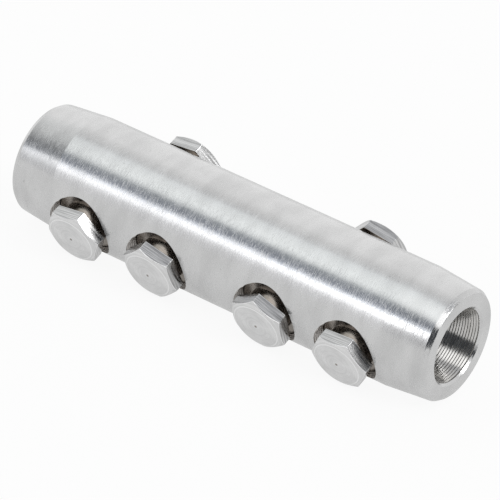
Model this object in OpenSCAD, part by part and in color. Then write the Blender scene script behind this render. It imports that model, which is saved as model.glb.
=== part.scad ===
// Bolted cable connector: a turned aluminium sleeve that joins two cable ends under shear bolts.
// X runs along the sleeve, +Z is up, and the origin is on the sleeve's axis, half way along it.
// The connector lies on its round side, propped by the heads of the front row of bolts.

/* [Sleeve] */
// Overall length of the sleeve
body_len = 168; // [160:1:220]
// Outer diameter of the sleeve
body_d = 42; // [38:0.5:52]
// Length of the turned taper at each end
taper_len = 17.5; // [6:0.5:18]
// How much the radius falls over the taper
taper_drop = 1.5; // [0.5:0.1:2.5]
// Length of the bevel round each end face
rim_bevel_len = 1.6; // [0.5:0.1:2.5]
// How much the radius falls over that bevel
rim_bevel_drop = 1.1; // [0.3:0.1:2]

/* [Cable sockets] */
// Diameter of the two cable sockets
bore_d = 26; // [20:0.5:28]
// Thickness of the wall left between the two sockets
partition = 4; // [2:0.5:8]
// Width of the bevel at each socket's mouth
mouth_bevel = 0.8; // [0.3:0.1:1.5]

/* [Bolt layout] */
// From an end face to the axis of its nearest front bolt
end_to_bolt = 30; // [28:0.5:34]
// Distance between the two front bolts of one half
bolt_pitch = 32; // [27:0.5:36]
// Turn of each front bolt's hexagon, from the left end to the right
front_turns = [11, 43, 32, 6]; // [0:1:59]
// Turn of each rear bolt's hexagon, from the left end to the right
rear_turns = [51, 12]; // [0:1:59]

/* [Shear bolts] */
// Outer diameter of the bolt's thread, and of the tapped hole
thread_d = 24; // [16:0.5:24]
// Gap between the shank and its hole, all round
thread_play = 0.2; // [0.1:0.05:0.4]
// Width across the flats of the head
head_af = 19; // [13:0.5:19]
// Height of the head
head_h = 5.2; // [4:0.1:9]
// How far the underside of a front head lies below the top of the sleeve
front_sink = 0.6; // [0:0.1:1.5]
// How far the underside of a rear head lies below the top of the sleeve
rear_sink = 1.2; // [0:0.1:1.5]
// Diameter of the flat top of the head, inside its bevel
head_flat_d = 17; // [11:0.5:18]
// Slope of the bevel round the head's top, in degrees
head_bevel_slope = 30; // [15:1:40]
// Diameter of the plain neck that the head is sheared off from
neck_d = 15; // [10:0.5:17]
// Height of the threaded foot below the neck
thread_len = 2.4; // [1.6:0.1:4]
// Bevel at both ends of the threaded foot
thread_bevel = 0.6; // [0.2:0.1:0.7]
// Gap between the deepest tip and the socket, with the bolts backed out for a cable to enter
tip_gap = 0.2; // [0.1:0.1:0.5]
// Diameter of the centre mark on top of the head
centre_mark_d = 1.1; // [0.6:0.1:2]

/* [Hidden] */
$fn = 96;
body_color = "#c9cbcd";
bolt_color = "#bcbdbe";

body_r = body_d / 2;
half_len = body_len / 2;
end_r = body_r - taper_drop;
face_r = end_r - rim_bevel_drop;
bore_r = bore_d / 2;
socket_depth = half_len - partition / 2;
hole_r = thread_d / 2;
shank_r = hole_r - thread_play;

// Places along the sleeve: two bolts in front and one behind in each half
outer_x = half_len - end_to_bolt;
inner_x = outer_x - bolt_pitch;
rear_x = outer_x - bolt_pitch / 2;

// All bolts are alike: the deepest row sets the length from the head's underside to the tip
below_head = body_r - max(front_sink, rear_sink) - bore_r - tip_gap;
neck_len = below_head - thread_len;

// The head's bevel takes its corners down from its flat top
corner_r = head_af / sqrt(3);
corner_drop = (corner_r - head_flat_d / 2) * tan(head_bevel_slope);
corner_top = head_h - corner_drop;

// The front row hangs below level by the angle at which sleeve and heads touch the table together
corner_reach = body_r - front_sink + corner_top;
rest_tilt = asin(body_r / norm([corner_reach, corner_r])) - atan(corner_r / corner_reach);
front_turn = 90 + rest_tilt;
rear_turn = front_turn + 180;

// Overlap that keeps a cut or a joined piece from ending on a face
eps = 0.5;

// Half outline of the sleeve: radius across, length up
module sleeve_profile() {
    polygon([
        [0, -half_len],
        [face_r, -half_len],
        [end_r, -half_len + rim_bevel_len],
        [body_r, -half_len + taper_len],
        [body_r, half_len - taper_len],
        [end_r, half_len - rim_bevel_len],
        [face_r, half_len],
        [0, half_len],
    ]);
}

// One cable socket with its bevelled mouth, cut upwards to the mouth at z = 0
module cable_socket() {
    translate([0, 0, -socket_depth])
        cylinder(h = socket_depth + eps, r = bore_r);
    translate([0, 0, -mouth_bevel])
        cylinder(h = mouth_bevel + eps, r1 = bore_r, r2 = bore_r + mouth_bevel + eps);
}

// Puts a shape made along +Z on a bolt's axis: its place along the sleeve, and its side
module on_bolt_axis(x, turn) {
    translate([x, 0, 0])
        rotate([turn, 0, 0])
            children();
}

// Places of the tapped holes, each cut from the socket out to the open
module tapped_holes() {
    for (x = [-outer_x, -inner_x, inner_x, outer_x])
        on_bolt_axis(x, front_turn)
            cylinder(h = body_r + eps, r = hole_r);
    for (x = [-rear_x, rear_x])
        on_bolt_axis(x, rear_turn)
            cylinder(h = body_r + eps, r = hole_r);
}

module connector_body() {
    color(body_color)
        difference() {
            rotate([0, 90, 0])
                rotate_extrude()
                    sleeve_profile();
            for (side = [0, 180])
                rotate([0, 90, side])
                    translate([0, 0, half_len])
                        cable_socket();
            tapped_holes();
        }
}

// Half outline of the turned blank that the head is cut from: bevelled top, centre mark
module head_blank_profile() {
    blank_r = corner_r + eps;
    flat_r = head_flat_d / 2;
    mark_r = centre_mark_d / 2;
    polygon([
        [0, -eps],
        [blank_r, -eps],
        [blank_r, head_h - (blank_r - flat_r) * tan(head_bevel_slope)],
        [flat_r, head_h],
        [mark_r, head_h],
        [0, head_h - mark_r],
    ]);
}

// Half outline of the neck and the threaded foot, from the tip up into the head
module shank_profile() {
    neck_r = neck_d / 2;
    polygon([
        [0, -below_head],
        [shank_r - thread_bevel, -below_head],
        [shank_r, -below_head + thread_bevel],
        [shank_r, -neck_len - thread_bevel],
        [shank_r - thread_bevel, -neck_len],
        [neck_r, -neck_len],
        [neck_r, eps],
        [0, eps],
    ]);
}

// One shear bolt along +Z, with the underside of its head at z = 0
module shear_bolt(hex_turn) {
    color(bolt_color)
        union() {
            intersection() {
                rotate([0, 0, hex_turn])
                    cylinder(h = head_h, r = corner_r, $fn = 6);
                rotate_extrude()
                    head_blank_profile();
            }
            rotate_extrude()
                shank_profile();
        }
}

// A bolt of the front row at its place along the sleeve
module front_bolt(x, hex_turn) {
    on_bolt_axis(x, front_turn)
        translate([0, 0, body_r - front_sink])
            shear_bolt(hex_turn);
}

// A bolt of the rear row at its place along the sleeve
module rear_bolt(x, hex_turn) {
    on_bolt_axis(x, rear_turn)
        translate([0, 0, body_r - rear_sink])
            shear_bolt(hex_turn);
}

module front_bolt_outer_left() {
    front_bolt(-outer_x, front_turns[0]);
}

module front_bolt_inner_left() {
    front_bolt(-inner_x, front_turns[1]);
}

module front_bolt_inner_right() {
    front_bolt(inner_x, front_turns[2]);
}

module front_bolt_outer_right() {
    front_bolt(outer_x, front_turns[3]);
}

module rear_bolt_left() {
    rear_bolt(-rear_x, rear_turns[0]);
}

module rear_bolt_right() {
    rear_bolt(rear_x, rear_turns[1]);
}

connector_body();
front_bolt_outer_left();
front_bolt_inner_left();
front_bolt_inner_right();
front_bolt_outer_right();
rear_bolt_left();
rear_bolt_right();
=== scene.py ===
"""Looks of a bolted cable connector: a turned aluminium sleeve and its six shear bolts.

Every length in the classes is in millimetres and every angle in degrees, unless it says otherwise.
The meshes are in metres, in the frame of the CAD model: X runs along the sleeve, Z is up, and the
origin is on the sleeve's axis, half way along it.
"""

import logging
import math
from dataclasses import dataclass
from enum import Enum, IntEnum

import bpy
from mathutils import Matrix, Vector


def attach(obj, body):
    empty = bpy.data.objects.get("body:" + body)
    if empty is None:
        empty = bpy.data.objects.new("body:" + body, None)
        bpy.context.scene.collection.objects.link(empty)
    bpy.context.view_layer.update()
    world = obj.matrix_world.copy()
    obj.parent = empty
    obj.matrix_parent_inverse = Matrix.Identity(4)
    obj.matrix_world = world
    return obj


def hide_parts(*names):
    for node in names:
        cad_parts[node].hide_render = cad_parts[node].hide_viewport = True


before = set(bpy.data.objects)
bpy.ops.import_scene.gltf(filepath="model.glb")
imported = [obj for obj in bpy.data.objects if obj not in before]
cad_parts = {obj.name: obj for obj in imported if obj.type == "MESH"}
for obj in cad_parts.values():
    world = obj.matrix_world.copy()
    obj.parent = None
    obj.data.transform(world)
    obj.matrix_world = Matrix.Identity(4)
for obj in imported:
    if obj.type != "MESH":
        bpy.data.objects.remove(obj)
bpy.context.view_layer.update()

LOG = logging.getLogger("connector")
# One millimetre in metres, and the distance within which two points are one
MM = 0.001
WELD = 0.001 * MM
X_AXIS = Vector((1.0, 0.0, 0.0))
Z_AXIS = Vector((0.0, 0.0, 1.0))
WHITE = "#ffffff"
# Sockets of a Mix node that carry colours: others share their names, so they go by number
MIX_A = 6
MIX_B = 7
MIX_RESULT = 2

Point = tuple[float, float]
Outline = list[Point]
Tones = dict[float, str]
Socket = bpy.types.NodeSocket
Tree = bpy.types.NodeTree


class Join(Enum):
    """Ways in which one solid changes another."""

    CUT = "DIFFERENCE"
    KEEP_SHARED = "INTERSECT"
    ADD = "UNION"


class Row(Enum):
    """Sides of the sleeve that carry bolts, as half turns from the front row."""

    FRONT = 0
    REAR = 1


class BoltSurface(IntEnum):
    """Surfaces of a bolt, by the number of their material."""

    TURNED = 0
    MILLED = 1
    # Painted shade: the foot and underside of a bolt, and its centre mark
    PAINTED_SHADE = 2
    # Painted highlight: the eased edges of the head
    EDGE = 3
    # Painted shade: the neck under the head
    NECK = 4


class SleeveSurface(IntEnum):
    """Surfaces of the sleeve, by the number of their material."""

    OUTSIDE = 0
    # Painted shade: thread sides that face into a hole
    PAINTED_SHADE = 1
    SOCKET = 2
    # Painted light: thread sides that face out of a hole
    CUT = 3


class Blend(Enum):
    """Ways in which the light of one stretch of the room joins the rest."""

    COVER = "MIX"
    ADD = "ADD"


class Fade(Enum):
    """Ways in which the light of one stretch of the room sets in."""

    EVEN = "LINEAR"
    SOFT = "SMOOTHSTEP"


def linear(code: str) -> tuple[float, float, float, float]:
    """Turn an sRGB hex colour into linear light.

    Args:
        code: Colour such as "#c9cbcd".

    Returns:
        Linear red, green and blue, with full alpha.
    """
    parts = [int(code[place:place + 2], 16) / 255 for place in (1, 3, 5)]
    red, green, blue = (
        part / 12.92 if part <= 0.04045 else ((part + 0.055) / 1.055) ** 2.4 for part in parts
    )
    return red, green, blue, 1.0


def add_node(
    tree: Tree,
    kind: str,
    inputs: dict[str | int, object] | None = None,
    stops: Tones | None = None,
    **settings: object,
) -> bpy.types.Node:
    """Add a node with its settings, its values and its links.

    Args:
        tree: Node tree that takes the node.
        kind: Blender's name for the node's class.
        inputs: Value, or output socket to link, for each input by name or number.
        stops: Hex colour at each place of a colour ramp.
        settings: Properties of the node.

    Returns:
        The new node.
    """
    node = tree.nodes.new(kind)
    for name, value in settings.items():
        setattr(node, name, value)
    for key, value in (inputs or {}).items():
        if isinstance(value, Socket):
            tree.links.new(value, node.inputs[key])
        else:
            node.inputs[key].default_value = value
    if stops:
        elements = node.color_ramp.elements
        while len(elements) > 1:
            elements.remove(elements[-1])
        for number, (place, code) in enumerate(stops.items()):
            element = elements[0] if number == 0 else elements.new(place)
            element.position = place
            element.color = linear(code)
    return node


def round_corner(
    before: Point, corner: Point, after: Point, radius: float, steps: int = 5
) -> Outline:
    """Replace a corner of an outline by a small arc.

    Args:
        before: Point before the corner.
        corner: The corner itself.
        after: Point after the corner.
        radius: Radius of the arc.
        steps: Number of straight pieces in the arc.

    Returns:
        Points of the arc, in order.
    """
    here = Vector(corner)
    back = (Vector(before) - here).normalized()
    ahead = (Vector(after) - here).normalized()
    half = back.angle(ahead) / 2
    centre = here + (back + ahead).normalized() * (radius / math.sin(half))
    start = here + back * (radius / math.tan(half)) - centre
    end = here + ahead * (radius / math.tan(half)) - centre
    points = []
    for step in range(steps + 1):
        spoke = start.lerp(end, step / steps).normalized() * radius
        points.append(tuple(centre + spoke))
    return points


def turn_outline(name: str, outline: Outline, axis: Vector, steps: int) -> bpy.types.Object:
    """Draw a half outline point by point and spin it round an axis, as on a lathe.

    Args:
        name: Name of the new piece.
        outline: Place along the axis and radius of each point, from axis to axis.
        axis: Axis of the spin through the origin, X or Z.
        steps: Number of flats round the piece.

    Returns:
        The closed solid.
    """
    across = Z_AXIS if axis == X_AXIS else X_AXIS
    points = [(axis * along + across * radius) * MM for along, radius in outline]
    bpy.ops.object.select_all(action="DESELECT")
    bpy.ops.mesh.primitive_plane_add(size=MM)
    piece = bpy.context.object
    piece.name = name
    piece.data.name = name
    bpy.ops.object.mode_set(mode="EDIT")
    bpy.ops.mesh.merge(type="CENTER")
    bpy.ops.transform.translate(value=points[0])
    for before, after in zip(points, points[1:]):
        bpy.ops.mesh.extrude_region_move(TRANSFORM_OT_translate={"value": after - before})
    bpy.ops.mesh.select_all(action="SELECT")
    bpy.ops.mesh.spin(steps=steps, angle=math.tau, center=(0, 0, 0), axis=axis)
    bpy.ops.mesh.select_all(action="SELECT")
    bpy.ops.mesh.remove_doubles(threshold=WELD)
    bpy.ops.mesh.normals_make_consistent(inside=False)
    bpy.ops.object.mode_set(mode="OBJECT")
    return piece


def make_active(piece: bpy.types.Object) -> None:
    """Select one piece alone, so that the next operator works on it.

    Args:
        piece: Piece that the operator is for.
    """
    bpy.ops.object.select_all(action="DESELECT")
    piece.select_set(True)
    bpy.context.view_layer.objects.active = piece


def combine(piece: bpy.types.Object, tool: bpy.types.Object, way: Join) -> None:
    """Change a solid by another one, which is used up.

    Args:
        piece: Solid that changes.
        tool: Solid that cuts it, bounds it or is added to it.
        way: How the two are combined.
    """
    change = piece.modifiers.new(name=way.name, type="BOOLEAN")
    change.operation = way.value
    change.object = tool
    change.solver = "MANIFOLD"
    make_active(piece)
    bpy.ops.object.modifier_apply(modifier=change.name)
    bpy.data.objects.remove(tool, do_unlink=True)


def place(piece: bpy.types.Object, matrix: Matrix) -> None:
    """Move a piece and put its place into its mesh.

    Args:
        piece: Piece at the origin.
        matrix: Its new turn and place.
    """
    make_active(piece)
    piece.matrix_world = matrix
    bpy.ops.object.transform_apply(location=True, rotation=True, scale=True)


def give_materials(piece: bpy.types.Object, *materials: bpy.types.Material) -> None:
    """Give a piece its materials, in place of the empty slots that joining leaves.

    Args:
        piece: Piece that is dressed, all over with the first material.
        materials: Materials, in the order of their slots.
    """
    piece.data.materials.clear()
    for material in materials:
        piece.data.materials.append(material)
    for face in piece.data.polygons:
        face.material_index = 0


@dataclass(frozen=True)
class Finish:
    """Bare aluminium with fine tool lines round an axis.

    The lines are slight ridges, so a reflection stays crisp round the axis and breaks up along it.
    Rings round the axis, faint bands of wear and small nicks vary the tone. Each of them is a noise
    that keeps near a half, so its ramp runs between about 0.3 and 0.7.
    """

    color: str
    worn_color: str
    roughness: tuple[float, float]
    line_spacing: float
    line_length: float
    line_depth: float
    line_shade: str
    ring_spacing: float = 0.7
    ring_depth: float = 0.0
    ring_shade: str = WHITE
    nick_size: float = 1.6
    nick_shade: str = WHITE
    band_width: float = 6.0
    band_squeeze: float = 0.35

    def make(self, name: str, axis_place: Matrix) -> bpy.types.Material:
        """Make the material.

        Args:
            name: Name of the material.
            axis_place: Turn and place of the piece whose own Z axis the lines run round.

        Returns:
            The finished material.
        """
        material = bpy.data.materials.new(name)
        material.use_nodes = True
        tree = material.node_tree
        tree.nodes.clear()
        own = add_node(
            tree, "ShaderNodeMapping",
            {
                "Vector": add_node(tree, "ShaderNodeTexCoord").outputs["Object"],
                "Location": axis_place.translation,
                "Rotation": axis_place.to_euler(),
            },
            vector_type="TEXTURE",
        ).outputs["Vector"]
        lines = self.draw_lines(tree, own)
        rings = self.draw_rings(tree, own)
        polish = add_node(
            tree, "ShaderNodeMapRange",
            {
                "Value": lines, "From Min": 0.35, "From Max": 0.65,
                "To Min": self.roughness[0], "To Max": self.roughness[1],
            },
        )
        metal = add_node(
            tree, "ShaderNodeBsdfPrincipled",
            {
                "Base Color": self.tint(tree, own, lines, rings), "Metallic": 1.0,
                "Roughness": polish.outputs["Result"],
                "Normal": self.raise_ridges(tree, lines, rings),
            },
        )
        add_node(tree, "ShaderNodeOutputMaterial", {"Surface": metal.outputs["BSDF"]})
        return material

    def draw_lines(self, tree: Tree, own: Socket) -> Socket:
        """Draw the tool lines: noise that is long round the axis and short along it.

        Args:
            tree: Node tree of the material.
            own: Place on the piece, with its axis along Z.

        Returns:
            Strength of the lines, from 0 to 1.
        """
        scale = Vector((1 / self.line_length, 1 / self.line_length, 1 / self.line_spacing))
        stretched = add_node(
            tree, "ShaderNodeVectorMath", {0: own, 1: scale / MM}, operation="MULTIPLY"
        )
        return add_node(
            tree, "ShaderNodeTexNoise",
            {"Vector": stretched.outputs[0], "Scale": 1.0, "Detail": 2.0, "Roughness": 0.6},
        ).outputs["Fac"]

    def draw_rings(self, tree: Tree, own: Socket) -> Socket:
        """Draw the rings that a lathe leaves on a face: noise by the distance from the axis.

        Args:
            tree: Node tree of the material.
            own: Place on the piece, with its axis along Z.

        Returns:
            Strength of the rings, from 0 to 1.
        """
        flat = add_node(
            tree, "ShaderNodeVectorMath", {0: own, 1: (1.0, 1.0, 0.0)}, operation="MULTIPLY"
        )
        radius = add_node(tree, "ShaderNodeVectorMath", {0: flat.outputs[0]}, operation="LENGTH")
        return add_node(
            tree, "ShaderNodeTexNoise",
            {"W": radius.outputs["Value"], "Scale": 1 / (self.ring_spacing * MM), "Detail": 2.0},
            noise_dimensions="1D",
        ).outputs["Fac"]

    def raise_ridges(self, tree: Tree, lines: Socket, rings: Socket) -> Socket:
        """Raise the lines and the rings into slight ridges.

        Args:
            tree: Node tree of the material.
            lines: Strength of the lines.
            rings: Strength of the rings.

        Returns:
            Normal of the ridged surface.
        """
        ridges = add_node(
            tree, "ShaderNodeBump", {"Height": lines, "Distance": self.line_depth * MM}
        )
        return add_node(
            tree, "ShaderNodeBump",
            {
                "Height": rings, "Distance": self.ring_depth * MM,
                "Normal": ridges.outputs["Normal"],
            },
        ).outputs["Normal"]

    def tint(self, tree: Tree, own: Socket, lines: Socket, rings: Socket) -> Socket:
        """Colour the metal in faint bands of wear, and darken its lines, rings and nicks.

        Args:
            tree: Node tree of the material.
            own: Place on the piece, with its axis along Z.
            lines: Strength of the lines.
            rings: Strength of the rings.

        Returns:
            Colour of the metal.
        """
        banded = add_node(
            tree, "ShaderNodeVectorMath",
            {0: own, 1: (self.band_squeeze, self.band_squeeze, 1.0)}, operation="MULTIPLY",
        )
        bands = add_node(
            tree, "ShaderNodeTexNoise",
            {"Vector": banded.outputs[0], "Scale": 1 / (self.band_width * MM), "Detail": 4.0},
        )
        nicks = add_node(
            tree, "ShaderNodeTexNoise",
            {"Vector": own, "Scale": 1 / (self.nick_size * MM), "Detail": 5.0, "Roughness": 0.7},
        )
        color = add_node(
            tree, "ShaderNodeValToRGB", {"Fac": bands.outputs["Fac"]},
            {0.35: self.worn_color, 0.6: self.color},
        ).outputs["Color"]
        for strength, stops in (
            (lines, {0.3: self.line_shade, 0.6: WHITE}),
            (rings, {0.35: self.ring_shade, 0.6: WHITE}),
            (nicks.outputs["Fac"], {0.64: WHITE, 0.73: self.nick_shade}),
        ):
            shade = add_node(tree, "ShaderNodeValToRGB", {"Fac": strength}, stops)
            color = add_node(
                tree, "ShaderNodeMix",
                {"Factor": 1.0, MIX_A: color, MIX_B: shade.outputs["Color"]},
                data_type="RGBA", blend_type="MULTIPLY",
            ).outputs[MIX_RESULT]
        return color


# Bright bar as it leaves the lathe: crisp bands of light, broken up by short fine lines and a few
# small nicks. The lines of the real bar are about 0.1 mm apart; here they are as coarse as the
# picture can show.
TURNED_BAR = Finish(
    color="#e3e3e3", worn_color="#d8d8d8", roughness=(0.06, 0.32),
    line_spacing=0.27, line_length=1.9, line_depth=0.022, line_shade="#f8f8f8",
    ring_spacing=0.5, ring_depth=0.004, nick_shade="#dedede",
)
# Turned top and bevel of a bolt: calm and pale, with rings round the centre mark
TURNED_BOLT = Finish(
    color="#f4f4f4", worn_color="#eeeeee", roughness=(0.16, 0.26),
    line_spacing=0.5, line_length=6.0, line_depth=0.004, line_shade="#f0f0f0",
    ring_depth=0.03, ring_shade="#f7f7f7",
)
# Milled flats of a head: greyer, with long lines along the hexagon's sides
MILLED_FLAT = Finish(
    color="#eaeaea", worn_color="#e2e2e2", roughness=(0.12, 0.24),
    line_spacing=0.4, line_length=14.0, line_depth=0.02, line_shade="#b4b4b4",
)
# Eased edges of a head: paler, smoother metal than the top as a painted highlight, so they draw thin
# bright lines
PAINTED_EDGE_HIGHLIGHT = Finish(
    color="#fafafa", worn_color="#f6f6f6", roughness=(0.16, 0.22),
    line_spacing=0.5, line_length=6.0, line_depth=0.0, line_shade=WHITE,
)
# Neck below a head: metal darkened and browned as painted shade, so its soft band of light stays dim
PAINTED_NECK_SHADE = Finish(
    color="#b4ada6", worn_color="#9e968e", roughness=(0.16, 0.26),
    line_spacing=0.5, line_length=6.0, line_depth=0.01, line_shade="#d8d8d8",
)
# Painted shade under the heads, in their centre marks and on inward thread sides:
# darker, brownish metal, so the holes look deep
PAINTED_HOLLOW_SHADE = Finish(
    color="#b0a9a2", worn_color="#969089", roughness=(0.14, 0.28),
    line_spacing=0.5, line_length=3.0, line_depth=0.01, line_shade="#d0d0d0",
)
# Painted light on the thread sides that face out of a hole: paler metal than the inward sides, which
# draws pale stripes
LIT_THREAD_SIDES = Finish(
    color="#efece9", worn_color="#e0dcd8", roughness=(0.25, 0.4),
    line_spacing=0.5, line_length=3.0, line_depth=0.01, line_shade="#e8e8e8",
)
# Grooved wall of a cable socket: clean and bright, with crisp bands of light across the grooves
GROOVED_SOCKET = Finish(
    color="#e4e3e1", worn_color="#d8d6d3", roughness=(0.14, 0.24),
    line_spacing=0.5, line_length=4.0, line_depth=0.01, line_shade="#e4e4e4",
)


@dataclass
class ShearBolt:
    """A hexagon-head shear bolt, along Z, with the underside of its head at z = 0.

    The fields from top_level on are limits on the upward part of a face's normal. They tell the
    surfaces of the bolt apart.
    """

    head_af: float = 19.0
    head_h: float = 5.2
    head_flat_d: float = 17.0
    head_bevel_slope: float = 30.0
    head_corner_round: float = 0.25
    head_corner_steps: int = 4
    head_rim_round: float = 0.9
    edge_round: float = 0.12
    edge_steps: int = 2
    edge_angle: float = 25.0
    smooth_angle: float = 5.0
    mark_d: float = 0.9
    neck_r: float = 7.3
    neck_foot_r: float = 8.2
    neck_len: float = 4.2
    thread_len: float = 2.4
    thread_crest_r: float = 11.55
    thread_root_r: float = 11.15
    thread_turns: int = 3
    overlap: float = 0.5
    steps: int = 96
    top_level: float = 0.99
    mark_level: float = 0.9
    neck_level: float = 0.4
    flat_level: float = 0.1
    bevel_play: float = 0.01

    @property
    def corner_r(self) -> float:
        """Radius to the corners of the hexagon."""
        return self.head_af / math.sqrt(3)

    def hexagon(self) -> bpy.types.Object:
        """Make the hexagonal bar of the head, with its upright edges eased.

        Returns:
            The bar, with corners on the X axis.
        """
        bpy.ops.object.select_all(action="DESELECT")
        bpy.ops.mesh.primitive_cylinder_add(
            vertices=6,
            radius=self.corner_r * MM,
            depth=(self.head_h + 2 * self.overlap) * MM,
            location=(0, 0, self.head_h / 2 * MM),
            rotation=(0, 0, math.radians(30)),
        )
        bar = bpy.context.object
        bpy.ops.object.transform_apply(location=True, rotation=True, scale=True)
        bpy.ops.object.mode_set(mode="EDIT")
        bpy.ops.mesh.select_all(action="DESELECT")
        bpy.ops.object.mode_set(mode="OBJECT")
        for edge in bar.data.edges:
            low, high = (bar.data.vertices[number].co for number in edge.vertices)
            edge.select = (low - high).xy.length < WELD
        bpy.ops.object.mode_set(mode="EDIT")
        bpy.ops.mesh.select_mode(type="EDGE")
        bpy.ops.mesh.bevel(
            offset=self.head_corner_round * MM, segments=self.head_corner_steps, affect="EDGES"
        )
        bpy.ops.mesh.select_mode(type="VERT")
        bpy.ops.object.mode_set(mode="OBJECT")
        return bar

    def head_blank(self) -> bpy.types.Object:
        """Turn the blank that bounds the head: bevelled top, eased rim and centre mark.

        Returns:
            The blank, along Z.
        """
        blank_r = self.corner_r + self.overlap
        flat_r = self.head_flat_d / 2
        mark_r = self.mark_d / 2
        slope = math.tan(math.radians(self.head_bevel_slope))
        skirt = (self.head_h - (blank_r - flat_r) * slope, blank_r)
        rim = (self.head_h, flat_r)
        mark = (self.head_h, mark_r)
        outline = [(0.0, 0.0), (0.0, blank_r), skirt]
        outline += round_corner(skirt, rim, mark, self.head_rim_round)
        outline += [mark, (self.head_h - mark_r, 0.0)]
        return turn_outline("head_blank", outline, Z_AXIS, self.steps)

    def shank(self) -> bpy.types.Object:
        """Turn the flared neck and the threaded foot, whose rings stand for the helix.

        Returns:
            The shank, from its tip up into the head.
        """
        tip = -self.neck_len - self.thread_len
        turn_len = self.thread_len / self.thread_turns
        outline = [(tip, 0.0), (tip, self.thread_root_r)]
        for turn in range(self.thread_turns):
            outline.append((tip + (turn + 0.5) * turn_len, self.thread_crest_r))
            outline.append((tip + (turn + 1) * turn_len, self.thread_root_r))
        outline += [(-self.neck_len, self.neck_foot_r), (0.0, self.neck_r)]
        outline += [(self.overlap, self.neck_r), (self.overlap, 0.0)]
        return turn_outline("shank", outline, Z_AXIS, self.steps)

    def build(self) -> bpy.types.Object:
        """Model the bolt that the six copies are made from.

        Returns:
            The bolt, along Z.
        """
        bolt = self.hexagon()
        combine(bolt, self.head_blank(), Join.KEEP_SHARED)
        ease = bolt.modifiers.new(name="eased_edges", type="BEVEL")
        ease.width = self.edge_round * MM
        ease.segments = self.edge_steps
        ease.limit_method = "ANGLE"
        ease.angle_limit = math.radians(self.edge_angle)
        make_active(bolt)
        bpy.ops.object.modifier_apply(modifier=ease.name)
        combine(bolt, self.shank(), Join.ADD)
        make_active(bolt)
        bpy.ops.object.shade_smooth_by_angle(angle=math.radians(self.smooth_angle))
        return bolt

    def dress(self, piece: bpy.types.Object, model: bpy.types.Object, seat: Matrix) -> None:
        """Give a copy its turned top, milled flats, painted edge highlights and painted shade under
        its head.

        Args:
            piece: Copy of the bolt, in its place.
            model: The bolt along Z that it was copied from.
            seat: Place of the underside of the bolt's head.
        """
        give_materials(
            piece,
            TURNED_BOLT.make(f"turned aluminium {piece.name}", seat),
            MILLED_FLAT.make(f"milled aluminium {piece.name}", seat),
            PAINTED_HOLLOW_SHADE.make(f"painted shade aluminium {piece.name}", seat),
            PAINTED_EDGE_HIGHLIGHT.make(f"painted edge highlights {piece.name}", seat),
            PAINTED_NECK_SHADE.make(f"painted neck shade {piece.name}", seat),
        )
        for face, model_face in zip(piece.data.polygons, model.data.polygons):
            face.material_index = self.surface(model_face)

    def surface(self, face: bpy.types.MeshPolygon) -> BoltSurface:
        """Tell which surface of the bolt a face belongs to.

        Args:
            face: Face of the bolt along Z.

        Returns:
            The surface.
        """
        spot = face.center / MM
        upward = face.normal.z
        out = spot.xy.length
        # Everything below the head takes painted shade; the neck has its own finish for it
        if spot.z < self.edge_round:
            on_neck = spot.z > -self.neck_len and abs(upward) < self.neck_level
            return BoltSurface.NECK if on_neck else BoltSurface.PAINTED_SHADE
        # The centre mark's dimple takes painted shade
        if out < self.mark_d / 2 and upward < self.mark_level:
            return BoltSurface.PAINTED_SHADE
        if abs(upward) < self.flat_level:
            return BoltSurface.MILLED
        bevel = math.cos(math.radians(self.head_bevel_slope))
        on_bevel = abs(upward - bevel) <= self.bevel_play
        # Eased edges take a painted highlight
        if out > self.mark_d and not on_bevel and upward < self.top_level:
            return BoltSurface.EDGE
        return BoltSurface.TURNED

    def copy_to(
        self, model: bpy.types.Object, name: str, seat: Matrix, hex_turn: float
    ) -> bpy.types.Object:
        """Copy the bolt into one of its holes.

        Args:
            model: The bolt that is copied.
            name: Name of the CAD node that the copy stands for.
            seat: Place of the underside of the bolt's head.
            hex_turn: Turn of the head's hexagon.

        Returns:
            The copy, with its own mesh.
        """
        copy = model.copy()
        copy.data = model.data.copy()
        copy.name = f"{name}_dressed"
        copy.data.name = copy.name
        bpy.context.collection.objects.link(copy)
        place(copy, seat @ Matrix.Rotation(math.radians(hex_turn), 4, "Z"))
        self.dress(copy, model, seat)
        return copy


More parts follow.
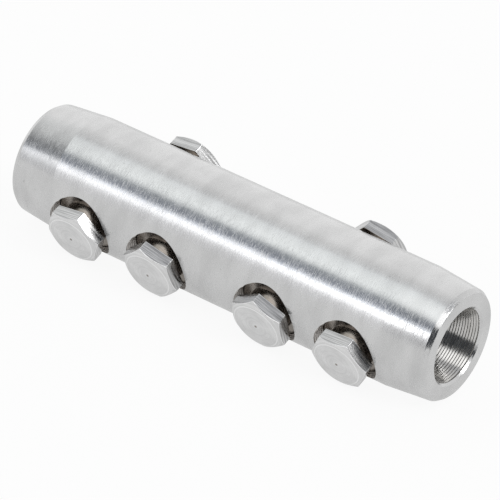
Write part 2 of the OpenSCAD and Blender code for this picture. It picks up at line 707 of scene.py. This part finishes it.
@dataclass
class Sleeve:
    """The turned sleeve with its two cable sockets and six tapped holes.

    A groove is deepest at groove_lean of its pitch. A face in a hole faces out of it where the part
    of its normal along the hole is above out_facing, and skin is how deep the outside reaches.
    """

    length: float = 168.0
    radius: float = 21.0
    taper_len: float = 17.5
    taper_drop: float = 1.5
    rim_bevel_len: float = 1.6
    rim_bevel_drop: float = 1.1
    rim_round: float = 0.6
    face_round: float = 0.5
    lip_round: float = 0.15
    lip_steps: int = 3
    bore_r: float = 13.0
    groove_pitch: float = 1.0
    groove_depth: float = 0.29
    groove_lean: float = 0.58
    partition: float = 4.0
    mouth_bevel: float = 0.8
    hole_crest_r: float = 11.83
    hole_root_r: float = 12.05
    hole_pitch: float = 1.0
    relief_r: float = 12.1
    relief_depth: float = 0.3
    tool_margin: float = 1.0
    skin: float = 0.1
    out_facing: float = 0.3
    front_sink: float = 0.6
    rear_sink: float = 1.2
    end_to_bolt: float = 30.0
    bolt_pitch: float = 32.0
    smooth_angle: float = 4.0
    steps: int = 160
    hole_steps: int = 112

    @property
    def half(self) -> float:
        """Half the length of the sleeve."""
        return self.length / 2

    def bolt_axes(self, row_turn: dict[Row, float]) -> dict[str, tuple[Matrix, Matrix]]:
        """Give the axis of each bolt from the middle of the sleeve, and the seat of its head.

        Args:
            row_turn: Turn of each row's bolts round the sleeve, in radians.

        Returns:
            Place of the axis and of the head's underside, by the name of the bolt's CAD node.
        """
        outer = self.half - self.end_to_bolt
        inner = outer - self.bolt_pitch
        rear = outer - self.bolt_pitch / 2
        places = {
            "front_bolt_outer_left": (-outer, Row.FRONT),
            "front_bolt_inner_left": (-inner, Row.FRONT),
            "front_bolt_inner_right": (inner, Row.FRONT),
            "front_bolt_outer_right": (outer, Row.FRONT),
            "rear_bolt_left": (-rear, Row.REAR),
            "rear_bolt_right": (rear, Row.REAR),
        }
        sinks = {Row.FRONT: self.front_sink, Row.REAR: self.rear_sink}
        axes = {}
        for name, (x, row) in places.items():
            axis = Matrix.Translation((x * MM, 0, 0)) @ Matrix.Rotation(row_turn[row], 4, "X")
            axes[name] = axis, axis @ Matrix.Translation((0, 0, (self.radius - sinks[row]) * MM))
        return axes

    def half_outline(self) -> Outline:
        """Draw one half of the lathe outline, from the partition out and back to mid-length.

        Returns:
            Place along the sleeve and radius of each point.
        """
        end_r = self.radius - self.taper_drop
        face_r = end_r - self.rim_bevel_drop
        mouth = (self.half - self.mouth_bevel, self.bore_r)
        lip = (self.half, self.bore_r + self.mouth_bevel)
        face = (self.half, face_r)
        rim = (self.half - self.rim_bevel_len, end_r)
        shoulder = (self.half - self.taper_len, self.radius)
        along = self.partition / 2
        points = [(along, 0.0), (along, self.bore_r)]
        while along + self.groove_pitch <= mouth[0]:
            deepest = along + self.groove_pitch * self.groove_lean
            points.append((deepest, self.bore_r + self.groove_depth))
            along += self.groove_pitch
            points.append((along, self.bore_r))
        points.append(mouth)
        points += round_corner(mouth, lip, face, self.lip_round, self.lip_steps)
        points += round_corner(lip, face, rim, self.face_round)
        points += round_corner(face, rim, shoulder, self.rim_round)
        points.append(shoulder)
        return points

    def cutter(self) -> bpy.types.Object:
        """Turn the tool that cuts one tapped hole; its rings stand for the thread's helix.

        Returns:
            The tool, along Z.
        """
        outline = [(0.0, 0.0), (0.0, self.hole_crest_r)]
        along = 0.0
        while along < self.radius + self.hole_pitch:
            outline.append((along + self.hole_pitch / 2, self.hole_root_r))
            along += self.hole_pitch
            outline.append((along, self.hole_crest_r))
        outline.append((along, 0.0))
        return turn_outline("cutter", outline, Z_AXIS, self.hole_steps)

    def deburring_tool(self) -> bpy.types.Object:
        """Make the tool that eases a hole's rim: a plain drill that stops just under the surface.

        Returns:
            The tool, along Z.
        """
        top = self.radius + self.tool_margin
        drill = turn_outline(
            "drill", [(0.0, 0.0), (0.0, self.relief_r), (top, self.relief_r), (top, 0.0)],
            Z_AXIS, self.hole_steps,
        )
        core_r = self.radius - self.relief_depth
        core = turn_outline(
            "core", [(-top, 0.0), (-top, core_r), (top, core_r), (top, 0.0)], X_AXIS, self.steps
        )
        combine(drill, core, Join.CUT)
        return drill

    def build(self, row_turn: dict[Row, float]) -> bpy.types.Object:
        """Turn the sleeve and cut its holes.

        Args:
            row_turn: Turn of each row's bolts round the sleeve, in radians.

        Returns:
            The sleeve.
        """
        right = self.half_outline()
        left = [(-along, radius) for along, radius in reversed(right)]
        sleeve = turn_outline("connector_body_dressed", right + left, X_AXIS, self.steps)
        for axis, _ in self.bolt_axes(row_turn).values():
            for tool in (self.cutter(), self.deburring_tool()):
                place(tool, axis)
                combine(sleeve, tool, Join.CUT)
        make_active(sleeve)
        bpy.ops.object.shade_smooth_by_angle(angle=math.radians(self.smooth_angle))
        return sleeve

    def dress(self, piece: bpy.types.Object, row_turn: dict[Row, float]) -> None:
        """Give the sleeve its turned outside, its grooved sockets, and painted light and shade on its
        threads.

        Args:
            piece: The sleeve.
            row_turn: Turn of each row's bolts round the sleeve, in radians.
        """
        lengthwise = Matrix.Rotation(math.pi / 2, 4, "Y")
        give_materials(
            piece,
            TURNED_BAR.make("turned aluminium bar", lengthwise),
            PAINTED_HOLLOW_SHADE.make("painted shade aluminium threads", lengthwise),
            GROOVED_SOCKET.make("grooved aluminium sockets", lengthwise),
            LIT_THREAD_SIDES.make("lit aluminium thread sides", lengthwise),
        )
        into_holes = [axis.inverted() for axis, _ in self.bolt_axes(row_turn).values()]
        for face in piece.data.polygons:
            face.material_index = self.surface(face, into_holes)

    def surface(self, face: bpy.types.MeshPolygon, into_holes: list[Matrix]) -> SleeveSurface:
        """Tell which surface of the sleeve a face belongs to.

        Args:
            face: Face of the sleeve.
            into_holes: Change from the sleeve's frame into the frame of each hole's axis.

        Returns:
            The surface.
        """
        out = face.center.yz.length
        if out < (self.bore_r + self.groove_depth) * MM + WELD:
            return SleeveSurface.SOCKET
        if out < (self.radius - self.skin) * MM:
            for into_hole in into_holes:
                spot = into_hole @ face.center
                if spot.xy.length < self.relief_r * MM + WELD and spot.z > 0:
                    # Thread sides that face out of the hole take painted light, the others painted
                    # shade
                    outward = (into_hole.to_3x3() @ face.normal).z
                    return SleeveSurface.CUT if outward > self.out_facing else SleeveSurface.PAINTED_SHADE
        return SleeveSurface.OUTSIDE


@dataclass(frozen=True)
class Stretch:
    """The light of one stretch of the room.

    Its tones go by height: 0 is the horizon in front, 0.5 is overhead and 1 is the horizon behind.
    It sets in at start and is full from full on, both of them the part of the direction along X.
    """

    tones: Tones
    start: float
    full: float
    least: float = 0.0
    blend: Blend = Blend.COVER
    fade: Fade = Fade.SOFT


# Far left of the room, where no lamp shows: a grey wall under a pale ceiling
FAR_LEFT: Tones = {
    0.00: "#b1b1b2", 0.08: "#a8a9ab", 0.16: "#8d8f93", 0.21: "#7c7e82",
    0.24: "#747679", 0.29: "#737476", 0.35: "#8e8f90", 0.42: "#aaabab",
    0.52: "#b6b7b7", 0.60: "#c3c4c4", 0.68: "#cdcdcd", 1.00: "#d0d0d0",
}
# Front of the room: the same wall, with a bright panel in the ceiling
PANEL = Stretch(
    {
        0.00: "#bcbcbd", 0.04: "#bdbdbe", 0.08: "#b7b7b9", 0.16: "#96989d",
        0.21: "#787c84", 0.235: "#787c83", 0.275: "#888c90", 0.312: "#d0d3d3",
        0.35: "#dfe2e2", 0.40: "#d8dbdb", 0.475: "#ced1d2", 0.505: "#b4b5b6",
        0.56: "#b7b7b7", 0.65: "#cacaca", 1.00: "#cdcdcd",
    },
    start=-0.62, full=-0.52,
)
# Strip light low in front, which grows brighter to the right and draws the sharp line on the sleeve
STRIP_LIGHT = Stretch(
    {
        0.035: "#000000", 0.075: "#676768", 0.10: "#cacbcb", 0.115: "#fdfdfd",
        0.154: "#f9fbff", 0.170: "#ccd2db", 0.191: "#5c6069", 0.209: "#000000",
    },
    start=-0.62, full=-0.24, least=0.36, blend=Blend.ADD, fade=Fade.EVEN,
)
# The camera's side of the room: a dark gap below a bright panel
CAMERA_SIDE = Stretch(
    {
        0.00: "#3a3c3f", 0.24: "#3a3c3f", 0.285: "#f4f4f4", 0.44: "#f4f4f4",
        0.475: "#949598", 0.56: "#a2a3a5", 0.66: "#bababa", 1.00: "#c8c8c8",
    },
    start=-0.24, full=-0.06,
)


@dataclass(frozen=True)
class Patch:
    """A round patch of the room that the heads, the tapers and the socket mirror.

    The patch is even inside its inner angle and fades out at its outer one.
    """

    direction: tuple[float, float, float]
    inner: float
    outer: float
    color: str
    strength: float = 1.0

    def light(self) -> tuple[float, float, float, float]:
        """Give the light of the patch."""
        red, green, blue, alpha = linear(self.color)
        return red * self.strength, green * self.strength, blue * self.strength, alpha


@dataclass
class Studio:
    """The pale floor, the soft light round the part, and the photograph's camera.

    The patches are two dark ones on the right, a lamp above them, and two small lamps on the left.
    """

    floor_z: float = -21.0
    floor_size: float = 8000.0
    floor_color: str = "#f2f2f1"
    seen_white: float = 0.92
    mirrored_white: float = 0.75
    mirrored_color: str = "#e0e0e0"
    light_level: float = 1.52
    stretches: tuple[Stretch, ...] = (PANEL, STRIP_LIGHT, CAMERA_SIDE)
    patches: tuple[Patch, ...] = (
        Patch((0.90, 0.36, 0.25), 12.0, 17.0, "#38393b"),
        Patch((0.88, -0.40, 0.30), 9.0, 14.0, "#38393b"),
        Patch((0.78, 0.04, 0.624), 8.0, 12.0, WHITE, 4.0),
        Patch((-0.31, -0.87, 0.385), 3.0, 8.0, WHITE, 2.0),
        Patch((-0.62, -0.69, 0.38), 2.0, 6.0, WHITE),
    )
    target: tuple[float, float, float] = (0.90, 0.56, -0.15)
    azimuth: float = 31.15
    elevation: float = 25.78
    distance: float = 1368.1
    roll: float = 10.03
    lens: float = 300.4
    sensor: float = 36.0
    view_depth: float = 100000.0

    def build_floor(self) -> None:
        """Lay the floor, which is white to the eye and in the metal, and keeps the shadow."""
        bpy.ops.object.select_all(action="DESELECT")
        bpy.ops.mesh.primitive_plane_add(
            size=self.floor_size * MM, location=(0, 0, self.floor_z * MM)
        )
        floor = bpy.context.object
        floor.name = "pale_floor"
        bpy.ops.object.transform_apply(location=True, rotation=True, scale=True)
        material = bpy.data.materials.new("pale studio floor")
        material.use_nodes = True
        tree = material.node_tree
        tree.nodes.clear()
        rays = add_node(tree, "ShaderNodeLightPath").outputs
        mirrored = add_node(
            tree, "ShaderNodeMath",
            {0: rays["Is Glossy Ray"], 1: rays["Is Transmission Ray"]}, operation="MAXIMUM",
        )
        mirrored_part = add_node(
            tree, "ShaderNodeMath", {0: mirrored.outputs[0], 1: self.mirrored_white},
            operation="MULTIPLY",
        )
        white_part = add_node(
            tree, "ShaderNodeMath",
            {0: rays["Is Camera Ray"], 1: self.seen_white, 2: mirrored_part.outputs[0]},
            operation="MULTIPLY_ADD",
        )
        matt = add_node(tree, "ShaderNodeBsdfDiffuse", {"Color": linear(self.floor_color)})
        tone = add_node(
            tree, "ShaderNodeMix",
            {
                "Factor": rays["Is Camera Ray"], MIX_A: linear(self.mirrored_color),
                MIX_B: linear(WHITE),
            },
            data_type="RGBA",
        )
        white = add_node(
            tree, "ShaderNodeEmission", {"Color": tone.outputs[MIX_RESULT], "Strength": 1.0}
        )
        mix = add_node(
            tree, "ShaderNodeMixShader",
            {0: white_part.outputs[0], 1: matt.outputs[0], 2: white.outputs[0]},
        )
        add_node(tree, "ShaderNodeOutputMaterial", {"Surface": mix.outputs[0]})
        floor.data.materials.append(material)

    def light_room(self, tree: Tree, way: Socket) -> Socket:
        """Lay the stretches of the room over each other, from left to right.

        Args:
            tree: Node tree of the world.
            way: Direction of a ray.

        Returns:
            Colour of the room in that direction.
        """
        split = add_node(tree, "ShaderNodeSeparateXYZ", {0: way}).outputs
        front = add_node(tree, "ShaderNodeMath", {0: split["Y"], 1: -1.0}, operation="MULTIPLY")
        arc = add_node(
            tree, "ShaderNodeMath", {0: split["Z"], 1: front.outputs[0]}, operation="ARCTAN2"
        )
        height = add_node(
            tree, "ShaderNodeMapRange", {"Value": arc.outputs[0], "From Max": math.pi}
        ).outputs["Result"]
        room = add_node(tree, "ShaderNodeValToRGB", {"Fac": height}, FAR_LEFT).outputs[0]
        for stretch in self.stretches:
            tones = add_node(tree, "ShaderNodeValToRGB", {"Fac": height}, stretch.tones)
            share = add_node(
                tree, "ShaderNodeMapRange",
                {
                    "Value": split["X"], "From Min": stretch.start, "From Max": stretch.full,
                    "To Min": stretch.least,
                },
                interpolation_type=stretch.fade.value,
            )
            room = add_node(
                tree, "ShaderNodeMix",
                {"Factor": share.outputs["Result"], MIX_A: room, MIX_B: tones.outputs[0]},
                data_type="RGBA", blend_type=stretch.blend.value,
            ).outputs[MIX_RESULT]
        return room

    def lay_patches(self, tree: Tree, way: Socket, room: Socket) -> Socket:
        """Lay the round patches over the room.

        Args:
            tree: Node tree of the world.
            way: Direction of a ray.
            room: Colour of the room in that direction.

        Returns:
            Colour of the room with its patches.
        """
        for patch in self.patches:
            cosine = add_node(
                tree, "ShaderNodeVectorMath",
                {0: way, 1: Vector(patch.direction).normalized()}, operation="DOT_PRODUCT",
            )
            cover = add_node(
                tree, "ShaderNodeMapRange",
                {
                    "Value": cosine.outputs["Value"],
                    "From Min": math.cos(math.radians(patch.outer)),
                    "From Max": math.cos(math.radians(patch.inner)),
                },
                interpolation_type=Fade.SOFT.value,
            )
            room = add_node(
                tree, "ShaderNodeMix",
                {"Factor": cover.outputs["Result"], MIX_A: room, MIX_B: patch.light()},
                data_type="RGBA",
            ).outputs[MIX_RESULT]
        return room

    def build_light(self) -> None:
        """Light the part from a plain room, before a backdrop that is white to the eye."""
        world = bpy.data.worlds.new("studio")
        world.use_nodes = True
        tree = world.node_tree
        tree.nodes.clear()
        way = add_node(tree, "ShaderNodeTexCoord").outputs["Generated"]
        room = self.lay_patches(tree, way, self.light_room(tree, way))
        lights = add_node(
            tree, "ShaderNodeBackground", {"Color": room, "Strength": self.light_level}
        )
        backdrop = add_node(
            tree, "ShaderNodeBackground", {"Color": linear(WHITE), "Strength": 1.0}
        )
        rays = add_node(tree, "ShaderNodeLightPath").outputs
        mix = add_node(
            tree, "ShaderNodeMixShader",
            {0: rays["Is Camera Ray"], 1: lights.outputs[0], 2: backdrop.outputs[0]},
        )
        add_node(tree, "ShaderNodeOutputWorld", {"Surface": mix.outputs[0]})
        bpy.context.scene.world = world

    def build_camera(self) -> None:
        """Place the camera where the photograph was taken from."""
        azimuth = math.radians(self.azimuth)
        elevation = math.radians(self.elevation)
        away = Vector((
            math.sin(azimuth) * math.cos(elevation),
            -math.cos(azimuth) * math.cos(elevation),
            math.sin(elevation),
        ))
        data = bpy.data.cameras.new("camera")
        data.sensor_width = self.sensor
        data.lens = self.lens
        data.clip_end = self.view_depth * MM
        camera = bpy.data.objects.new("camera", data)
        bpy.context.collection.objects.link(camera)
        turn = away.to_track_quat("Z", "Y").to_matrix().to_4x4()
        spot = Vector(self.target) * MM + away * self.distance * MM
        camera.matrix_world = (
            Matrix.Translation(spot) @ turn @ Matrix.Rotation(math.radians(self.roll), 4, "Z")
        )
        bpy.context.scene.camera = camera


@dataclass
class Connector:
    """The whole part: the sleeve and its six bolts, on their CAD bodies."""

    sleeve: Sleeve
    bolt: ShearBolt
    hex_turns: dict[str, float]

    def row_turns(self) -> dict[Row, float]:
        """Give the turn of each row of bolts round the sleeve.

        The part rests on its sleeve and on the corners of the front heads together, so the front
        row hangs below level by the angle between them.

        Returns:
            Turn of each row, in radians.
        """
        slope = math.tan(math.radians(self.bolt.head_bevel_slope))
        corner_r = self.bolt.corner_r
        corner_top = self.bolt.head_h - (corner_r - self.bolt.head_flat_d / 2) * slope
        reach = self.sleeve.radius - self.sleeve.front_sink + corner_top
        tilt = math.asin(self.sleeve.radius / math.hypot(reach, corner_r))
        tilt -= math.atan(corner_r / reach)
        return {row: math.pi / 2 + tilt + row.value * math.pi for row in Row}

    def build(self) -> list[bpy.types.Object]:
        """Model, dress and place every piece.

        Returns:
            The finished pieces.
        """
        turns = self.row_turns()
        body = self.sleeve.build(turns)
        self.sleeve.dress(body, turns)
        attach(body, "sleeve")
        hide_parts("connector_body")
        pieces = [body]
        model = self.bolt.build()
        for name, (_, seat) in self.sleeve.bolt_axes(turns).items():
            copy = self.bolt.copy_to(model, name, seat, self.hex_turns[name])
            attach(copy, name)
            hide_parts(name)
            pieces.append(copy)
        bpy.data.objects.remove(model, do_unlink=True)
        return pieces


def main() -> None:
    """Build the studio and the part."""
    logging.basicConfig(level=logging.INFO, format="%(name)s: %(message)s")
    bpy.context.scene.view_settings.view_transform = "Standard"
    studio = Studio()
    studio.build_camera()
    studio.build_light()
    studio.build_floor()
    connector = Connector(
        sleeve=Sleeve(),
        bolt=ShearBolt(),
        hex_turns={
            "front_bolt_outer_left": 11.0,
            "front_bolt_inner_left": 43.0,
            "front_bolt_inner_right": 32.0,
            "front_bolt_outer_right": 6.0,
            "rear_bolt_left": 51.0,
            "rear_bolt_right": 12.0,
        },
    )
    for piece in connector.build():
        LOG.info("%s: %d faces", piece.name, len(piece.data.polygons))


if __name__ == "__main__":
    main()
